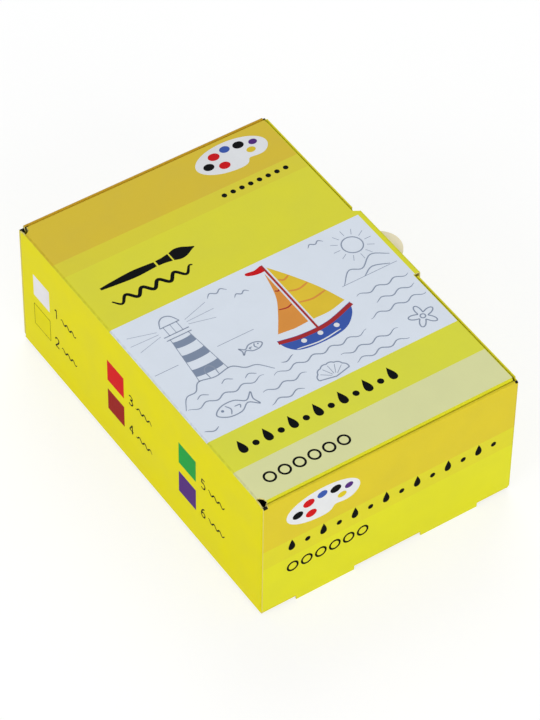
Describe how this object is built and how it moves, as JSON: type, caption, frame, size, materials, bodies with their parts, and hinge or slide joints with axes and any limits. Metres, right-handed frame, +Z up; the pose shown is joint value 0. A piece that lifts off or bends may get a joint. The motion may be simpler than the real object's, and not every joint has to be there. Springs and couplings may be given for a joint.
{
  "type": "gouache paint box",
  "caption": "Closed folding carton of printed board with a creased lid, tucked flaps and a lock tongue, holding screw-cap pots of gouache paint.",
  "frame": {"origin": "middle of the base panel's underside", "axes": "+X from the hinge side to the opening side, +Y along the box from its near end to its far end, +Z up"},
  "size_m": [0.0816, 0.115, 0.042],
  "materials": {
    "printed_board": "printed, light gloss",
    "pot_plastic": "clear moulded",
    "cap_plastic": "moulded, satin",
    "liner_foam": "fine foam",
    "paint_white": "opaque gouache",
    "paint_yellow": "opaque gouache",
    "paint_scarlet": "opaque gouache",
    "paint_brown": "opaque gouache",
    "paint_green": "opaque gouache",
    "paint_violet": "opaque gouache"
  },
  "bodies": {
    "tray": {"base_panel": "printed_board", "left_wall": "printed_board", "right_wall": "printed_board", "near_end_outer": "printed_board", "near_end_inner": "printed_board", "near_end_rim": "printed_board", "left_near_dust_flap": "printed_board", "right_near_dust_flap": "printed_board", "far_end_outer": "printed_board", "far_end_inner": "printed_board", "far_end_rim": "printed_board", "left_far_dust_flap": "printed_board", "right_far_dust_flap": "printed_board"},
    "lid": {"lid_panel": "printed_board"},
    "near_ear": {"near_ear": "printed_board"},
    "far_ear": {"far_ear": "printed_board"},
    "near_tuck_flap": {"near_tuck_flap": "printed_board"},
    "far_tuck_flap": {"far_tuck_flap": "printed_board"},
    "lock_flap": {"lock_flap": "printed_board"},
    "lock_tongue": {"lock_tongue": "printed_board"},
    "jar_white": {"pot_white": "pot_plastic", "paint_white": "paint_white"},
    "liner_white": {"liner_white": "liner_foam"},
    "cap_white": {"cap_white": "cap_plastic"},
    "jar_yellow": {"pot_yellow": "pot_plastic", "paint_yellow": "paint_yellow"},
    "liner_yellow": {"liner_yellow": "liner_foam"},
    "cap_yellow": {"cap_yellow": "cap_plastic"},
    "jar_scarlet": {"pot_scarlet": "pot_plastic", "paint_scarlet": "paint_scarlet"},
    "liner_scarlet": {"liner_scarlet": "liner_foam"},
    "cap_scarlet": {"cap_scarlet": "cap_plastic"},
    "jar_brown": {"pot_brown": "pot_plastic", "paint_brown": "paint_brown"},
    "liner_brown": {"liner_brown": "liner_foam"},
    "cap_brown": {"cap_brown": "cap_plastic"},
    "jar_green": {"pot_green": "pot_plastic", "paint_green": "paint_green"},
    "liner_green": {"liner_green": "liner_foam"},
    "cap_green": {"cap_green": "cap_plastic"},
    "jar_violet": {"pot_violet": "pot_plastic", "paint_violet": "paint_violet"},
    "liner_violet": {"liner_violet": "liner_foam"},
    "cap_violet": {"cap_violet": "cap_plastic"}
  },
  "joints": [
    {"name": "lid_hinge", "type": "hinge", "parent": "tray", "child": "lid", "pos_m": [-0.0385, 0, 0.0411], "axis": [0, -1, 0], "range_deg": [0, 180]},
    {"name": "near_ear_fold", "type": "hinge", "parent": "lid", "child": "near_ear", "pos_m": [0, -0.0557, 0.0411], "axis": [1, 0, 0], "range_deg": [0, 6]},
    {"name": "far_ear_fold", "type": "hinge", "parent": "lid", "child": "far_ear", "pos_m": [0, 0.0557, 0.0411], "axis": [-1, 0, 0], "range_deg": [0, 6]},
    {"name": "near_tuck_fold", "type": "hinge", "parent": "lid", "child": "near_tuck_flap", "pos_m": [0.03755, 0, 0.0411], "axis": [0, 1, 0], "range_deg": [0, 10]},
    {"name": "far_tuck_fold", "type": "hinge", "parent": "lid", "child": "far_tuck_flap", "pos_m": [0.03755, 0, 0.0411], "axis": [0, 1, 0], "range_deg": [0, 10]},
    {"name": "lock_flap_fold", "type": "hinge", "parent": "lid", "child": "lock_flap", "pos_m": [0.03985, 0, 0.0411], "axis": [0, -1, 0], "range_deg": [0, 110]},
    {"name": "lock_tongue_fold", "type": "hinge", "parent": "tray", "child": "lock_tongue", "pos_m": [0.0385, 0, 0.0399], "axis": [0, 1, 0], "range_deg": [0, 85]},
    {"name": "jar_white_lift", "type": "slide", "parent": "tray", "child": "jar_white", "axis": [0, 0, 1], "range_m": [0, 0.0039]},
    {"name": "cap_white_rise", "type": "slide", "parent": "jar_white", "child": "liner_white", "axis": [0, 0, 1], "range_m": [0, 0.00251]},
    {"name": "cap_white_turn", "type": "hinge", "parent": "liner_white", "child": "cap_white", "pos_m": [-0.0193, 0.0366, 0], "axis": [0, 0, 1], "range_deg": [0, 360]},
    {"name": "jar_yellow_lift", "type": "slide", "parent": "tray", "child": "jar_yellow", "axis": [0, 0, 1], "range_m": [0, 0.0039]},
    {"name": "cap_yellow_rise", "type": "slide", "parent": "jar_yellow", "child": "liner_yellow", "axis": [0, 0, 1], "range_m": [0, 0.00251]},
    {"name": "cap_yellow_turn", "type": "hinge", "parent": "liner_yellow", "child": "cap_yellow", "pos_m": [0.0173, 0.0366, 0], "axis": [0, 0, 1], "range_deg": [0, 360]},
    {"name": "jar_scarlet_lift", "type": "slide", "parent": "tray", "child": "jar_scarlet", "axis": [0, 0, 1], "range_m": [0, 0.0039]},
    {"name": "cap_scarlet_rise", "type": "slide", "parent": "jar_scarlet", "child": "liner_scarlet", "axis": [0, 0, 1], "range_m": [0, 0.00251]},
    {"name": "cap_scarlet_turn", "type": "hinge", "parent": "liner_scarlet", "child": "cap_scarlet", "pos_m": [-0.0193, 0, 0], "axis": [0, 0, 1], "range_deg": [0, 360]},
    {"name": "jar_brown_lift", "type": "slide", "parent": "tray", "child": "jar_brown", "axis": [0, 0, 1], "range_m": [0, 0.0039]},
    {"name": "cap_brown_rise", "type": "slide", "parent": "jar_brown", "child": "liner_brown", "axis": [0, 0, 1], "range_m": [0, 0.00251]},
    {"name": "cap_brown_turn", "type": "hinge", "parent": "liner_brown", "child": "cap_brown", "pos_m": [0.0173, 0, 0], "axis": [0, 0, 1], "range_deg": [0, 360]},
    {"name": "jar_green_lift", "type": "slide", "parent": "tray", "child": "jar_green", "axis": [0, 0, 1], "range_m": [0, 0.0039]},
    {"name": "cap_green_rise", "type": "slide", "parent": "jar_green", "child": "liner_green", "axis": [0, 0, 1], "range_m": [0, 0.00251]},
    {"name": "cap_green_turn", "type": "hinge", "parent": "liner_green", "child": "cap_green", "pos_m": [-0.0193, -0.0366, 0], "axis": [0, 0, 1], "range_deg": [0, 360]},
    {"name": "jar_violet_lift", "type": "slide", "parent": "tray", "child": "jar_violet", "axis": [0, 0, 1], "range_m": [0, 0.0039]},
    {"name": "cap_violet_rise", "type": "slide", "parent": "jar_violet", "child": "liner_violet", "axis": [0, 0, 1], "range_m": [0, 0.00251]},
    {"name": "cap_violet_turn", "type": "hinge", "parent": "liner_violet", "child": "cap_violet", "pos_m": [0.0173, -0.0366, 0], "axis": [0, 0, 1], "range_deg": [0, 360]}
  ],
  "couplings": [
    {"joint": "cap_white_rise", "follows": "cap_white_turn", "m_per_rad": 0.00039789},
    {"joint": "cap_yellow_rise", "follows": "cap_yellow_turn", "m_per_rad": 0.00039789},
    {"joint": "cap_scarlet_rise", "follows": "cap_scarlet_turn", "m_per_rad": 0.00039789},
    {"joint": "cap_brown_rise", "follows": "cap_brown_turn", "m_per_rad": 0.00039789},
    {"joint": "cap_green_rise", "follows": "cap_green_turn", "m_per_rad": 0.00039789},
    {"joint": "cap_violet_rise", "follows": "cap_violet_turn", "m_per_rad": 0.00039789}
  ]
}
